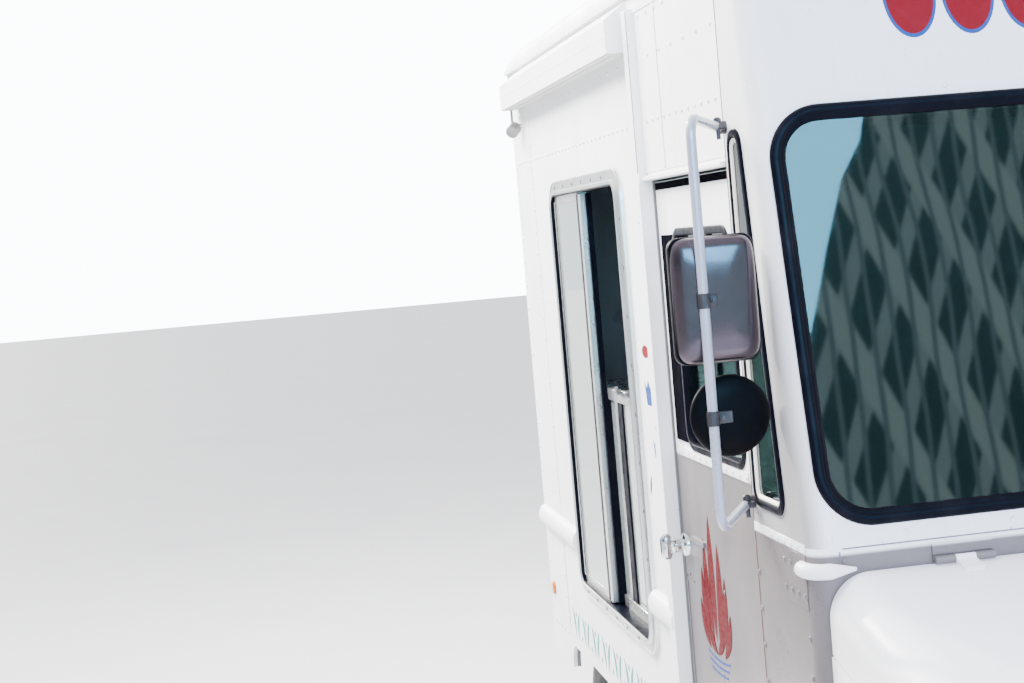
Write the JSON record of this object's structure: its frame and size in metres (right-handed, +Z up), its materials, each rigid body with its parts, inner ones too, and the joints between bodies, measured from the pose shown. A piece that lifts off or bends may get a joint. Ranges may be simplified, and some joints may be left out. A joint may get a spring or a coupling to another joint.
{
  "type": "ice cream truck",
  "caption": "Short walk-in step van with a serving window, awning box, cab and rear doors, hood, steering and wheels that move.",
  "frame": {"origin": "on the ground under the middle of the whole vehicle", "axes": "+X forward, +Y to the driver's left, +Z up"},
  "size_m": [4.45, 2.55, 3.0249],
  "materials": {
    "white_paint": "gloss",
    "chassis_black": "satin",
    "cast_steel": "rough",
    "engine_grey": "rough",
    "pipe_steel": "dull",
    "floor_plate": "dull",
    "bare_aluminium": "satin",
    "rim_white": "satin",
    "tyre_black": "matt",
    "seal_black": "matt",
    "pane": "clear",
    "lens": "clear",
    "bright_bar": "satin",
    "mirror_metal": "satin",
    "dash_plastic": "matt",
    "wheel_plastic": "semi-gloss",
    "seat_vinyl": "satin",
    "counter_steel": "brushed"
  },
  "bodies": {
    "body": {"frame_rails": "chassis_black", "frame_crossmembers": "chassis_black", "front_axle": "cast_steel", "rear_axle": "cast_steel", "engine": "engine_grey", "exhaust": "pipe_steel", "fuel_tank": "chassis_black", "floor": "floor_plate", "cowl": "white_paint", "nose": "white_paint", "grille": "bright_bar", "cab_front": "white_paint", "side_panel_right": "white_paint", "side_panel_left": "white_paint", "rear_frame": "white_paint", "roof": "white_paint", "front_bumper": "bright_bar", "rear_bumper": "bright_bar", "lamps": "lens", "dashboard": "dash_plastic", "driver_seat": "seat_vinyl", "body_glass": "pane", "window_seals": "seal_black", "serving_window": "bare_aluminium", "awning_box": "white_paint", "serving_counter": "counter_steel", "mirrors": "mirror_metal"},
    "hood": {"hood": "white_paint"},
    "steering_wheel": {"steering_wheel": "wheel_plastic"},
    "cab_door_left": {"cab_door_left": "white_paint", "door_glass_left": "pane"},
    "rear_door_left": {"rear_door_left": "white_paint"},
    "knuckle_left": {"knuckle_left": "cast_steel"},
    "wheel_front_left": {"wheel_front_left": "rim_white", "tyre_front_left": "tyre_black"},
    "wheels_rear_left": {"wheels_rear_left": "rim_white", "tyres_rear_left": "tyre_black"},
    "cab_door_right": {"cab_door_right": "white_paint", "door_glass_right": "pane"},
    "rear_door_right": {"rear_door_right": "white_paint"},
    "knuckle_right": {"knuckle_right": "cast_steel"},
    "wheel_front_right": {"wheel_front_right": "rim_white", "tyre_front_right": "tyre_black"},
    "wheels_rear_right": {"wheels_rear_right": "rim_white", "tyres_rear_right": "tyre_black"}
  },
  "joints": [
    {"name": "steer_left", "type": "hinge", "parent": "body", "child": "knuckle_left", "pos_m": [1.465, 0.74, 0.38], "axis": [0, 0, 1], "range_deg": [-32, 32]},
    {"name": "spin_front_left", "type": "hinge", "parent": "knuckle_left", "child": "wheel_front_left", "pos_m": [1.465, 0.86, 0.38], "axis": [0, 1, 0], "continuous": true},
    {"name": "spin_rear_left", "type": "hinge", "parent": "body", "child": "wheels_rear_left", "pos_m": [-1.175, 0.7975, 0.38], "axis": [0, 1, 0], "continuous": true},
    {"name": "cab_door_left", "type": "hinge", "parent": "body", "child": "cab_door_left", "pos_m": [0.965, 1.057, 1.38], "axis": [0, 0, -1], "range_deg": [0, 85]},
    {"name": "rear_door_left", "type": "hinge", "parent": "body", "child": "rear_door_left", "pos_m": [-2.02, 1.009, 1.64], "axis": [0, 0, -1], "range_deg": [0, 175]},
    {"name": "steer_right", "type": "hinge", "parent": "body", "child": "knuckle_right", "pos_m": [1.465, -0.74, 0.38], "axis": [0, 0, 1], "range_deg": [-32, 32]},
    {"name": "spin_front_right", "type": "hinge", "parent": "knuckle_right", "child": "wheel_front_right", "pos_m": [1.465, -0.86, 0.38], "axis": [0, 1, 0], "continuous": true},
    {"name": "spin_rear_right", "type": "hinge", "parent": "body", "child": "wheels_rear_right", "pos_m": [-1.175, -0.7975, 0.38], "axis": [0, 1, 0], "continuous": true},
    {"name": "cab_door_right", "type": "hinge", "parent": "body", "child": "cab_door_right", "pos_m": [0.965, -1.057, 1.38], "axis": [0, 0, 1], "range_deg": [0, 85]},
    {"name": "rear_door_right", "type": "hinge", "parent": "body", "child": "rear_door_right", "pos_m": [-2.02, -1.009, 1.64], "axis": [0, 0, 1], "range_deg": [0, 175]},
    {"name": "hood_hinge", "type": "hinge", "parent": "body", "child": "hood", "pos_m": [1.40186, 0, 1.42437], "axis": [0, -1, 0], "range_deg": [0, 60]},
    {"name": "steering_turn", "type": "hinge", "parent": "body", "child": "steering_wheel", "pos_m": [1, 0.48, 1.39], "axis": [-0.766, 0, 0.6428], "range_deg": [-486, 486]}
  ],
  "couplings": [
    {"joint": "steer_right", "follows": "steer_left", "ratio": 1},
    {"joint": "steering_turn", "follows": "steer_left", "ratio": 15}
  ]
}
